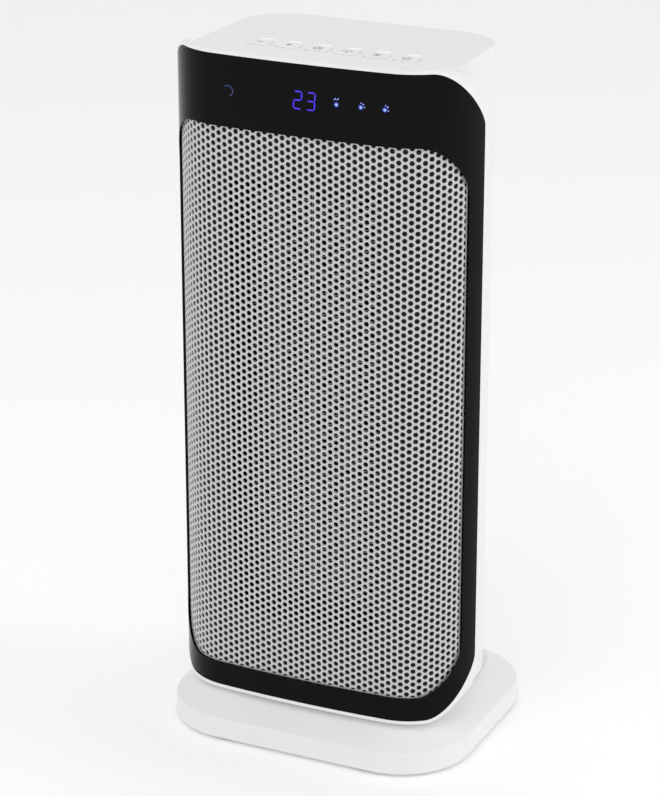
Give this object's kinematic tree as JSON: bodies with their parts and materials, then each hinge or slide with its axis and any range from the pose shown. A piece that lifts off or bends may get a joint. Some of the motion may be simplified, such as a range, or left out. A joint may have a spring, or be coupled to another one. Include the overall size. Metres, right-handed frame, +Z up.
{
  "type": "ceramic space heater",
  "caption": "Oscillating ceramic tower heater: curved gloss front with a perforated grille over a heating element and blower, on a swinging base with keys on top.",
  "frame": {"origin": "on the floor, on the axis about which the tower swings, which is the middle of the base", "axes": "+Z up; the front grille faces -Y; +X is to the right as seen from the front"},
  "size_m": [0.1794, 0.1476, 0.3975],
  "materials": {
    "white_plastic": "satin moulded",
    "black_plastic": "moulded",
    "gloss_black": "polished",
    "grille_steel": "silver paint",
    "rubber": "matte",
    "screw_steel": "zinc plated",
    "acetal": "natural",
    "motor_can": "plated",
    "bearing_bronze": "turned",
    "fin_aluminium": "rolled",
    "ptc_ceramic": "fired",
    "insulating_board": "pressed board",
    "circuit_board": "solder mask",
    "switch_plastic": "moulded",
    "display_plastic": "moulded",
    "lamp_blue": "clear moulded",
    "lens_dark": "polished",
    "coil_copper": "enamelled wire",
    "filter_mesh": "woven"
  },
  "bodies": {
    "base": {"base_plate": "black_plastic", "base_cover": "white_plastic", "rubber_feet": "rubber", "base_screws": "screw_steel", "cord_grommet": "rubber", "spindle_tube": "acetal", "retaining_ring": "screw_steel", "turntable_washer": "acetal", "swing_gear": "acetal", "tip_switch": "black_plastic", "tip_spring": "screw_steel"},
    "plunger": {"tip_plunger": "black_plastic"},
    "pinion": {"swing_pinion": "acetal"},
    "blower": {"blower_wheel": "black_plastic", "blower_shaft": "screw_steel", "motor_rotor": "screw_steel"},
    "rocker": {"power_rocker": "black_plastic"},
    "filter": {"filter_cover": "white_plastic", "dust_filter": "filter_mesh"},
    "key_power": {"key_power": "white_plastic"},
    "key_timer": {"key_timer": "white_plastic"},
    "key_mode": {"key_mode": "white_plastic"},
    "key_swing": {"key_swing": "white_plastic"},
    "key_plus": {"key_plus": "white_plastic"},
    "key_minus": {"key_minus": "white_plastic"},
    "tower": {"front_bezel": "white_plastic", "rear_housing": "white_plastic", "top_cover": "white_plastic", "handle_cup": "white_plastic", "tower_floor": "black_plastic", "duct_base": "black_plastic", "duct_top": "black_plastic", "duct_scroll": "black_plastic", "duct_tongue": "black_plastic", "heater_frame": "black_plastic", "outlet_duct": "black_plastic", "switch_case": "black_plastic", "motor_bracket": "black_plastic", "front_fascia": "gloss_black", "front_grille": "grille_steel", "tower_screws": "screw_steel", "motor_stator": "screw_steel", "swing_motor": "motor_can", "thermal_cutout": "motor_can", "shaft_bearings": "bearing_bronze", "heater_terminals": "bearing_bronze", "thermal_fuse": "bearing_bronze", "heater_fins": "fin_aluminium", "heater_electrodes": "fin_aluminium", "ptc_stones": "ptc_ceramic", "heater_brackets": "insulating_board", "control_board": "circuit_board", "display_board": "circuit_board", "tact_switches": "switch_plastic", "infrared_receiver": "switch_plastic", "digit_display": "display_plastic", "indicator_lamps": "lamp_blue", "key_lights": "lamp_blue", "receiver_lens": "lens_dark", "motor_coils": "coil_copper"}
  },
  "joints": [
    {"name": "tower_swing", "type": "hinge", "parent": "base", "child": "tower", "pos_m": [0, 0, 0.03], "axis": [0, 0, 1], "range_deg": [-35, 35]},
    {"name": "pinion_spin", "type": "hinge", "parent": "tower", "child": "pinion", "pos_m": [0.0263, 0, 0.026], "axis": [0, 0, 1], "range_deg": [-70.5, 70.5]},
    {"name": "blower_spin", "type": "hinge", "parent": "tower", "child": "blower", "pos_m": [0, 0.0065, 0.2], "axis": [0, 0, 1], "continuous": true},
    {"name": "rocker_tilt", "type": "hinge", "parent": "tower", "child": "rocker", "pos_m": [0.04, 0.0413, 0.062], "axis": [1, 0, 0], "range_deg": [0, 16]},
    {"name": "filter_slide", "type": "slide", "parent": "tower", "child": "filter", "axis": [0, 1, 0], "range_m": [0, 0.02]},
    {"name": "plunger_drop", "type": "slide", "parent": "base", "child": "plunger", "axis": [0, 0, -1], "range_m": [0, 0.0035], "deforming": ["tip_spring"]},
    {"name": "press_power", "type": "slide", "parent": "tower", "child": "key_power", "axis": [0, 0, -1], "range_m": [0, 0.001], "stiffness_N_per_m": 400, "springref_m": -0.001},
    {"name": "press_timer", "type": "slide", "parent": "tower", "child": "key_timer", "axis": [0, 0, -1], "range_m": [0, 0.001], "stiffness_N_per_m": 400, "springref_m": -0.001},
    {"name": "press_mode", "type": "slide", "parent": "tower", "child": "key_mode", "axis": [0, 0, -1], "range_m": [0, 0.001], "stiffness_N_per_m": 400, "springref_m": -0.001},
    {"name": "press_swing", "type": "slide", "parent": "tower", "child": "key_swing", "axis": [0, 0, -1], "range_m": [0, 0.001], "stiffness_N_per_m": 400, "springref_m": -0.001},
    {"name": "press_plus", "type": "slide", "parent": "tower", "child": "key_plus", "axis": [0, 0, -1], "range_m": [0, 0.001], "stiffness_N_per_m": 400, "springref_m": -0.001},
    {"name": "press_minus", "type": "slide", "parent": "tower", "child": "key_minus", "axis": [0, 0, -1], "range_m": [0, 0.001], "stiffness_N_per_m": 400, "springref_m": -0.001}
  ],
  "couplings": [
    {"joint": "pinion_spin", "follows": "tower_swing", "ratio": 2}
  ]
}
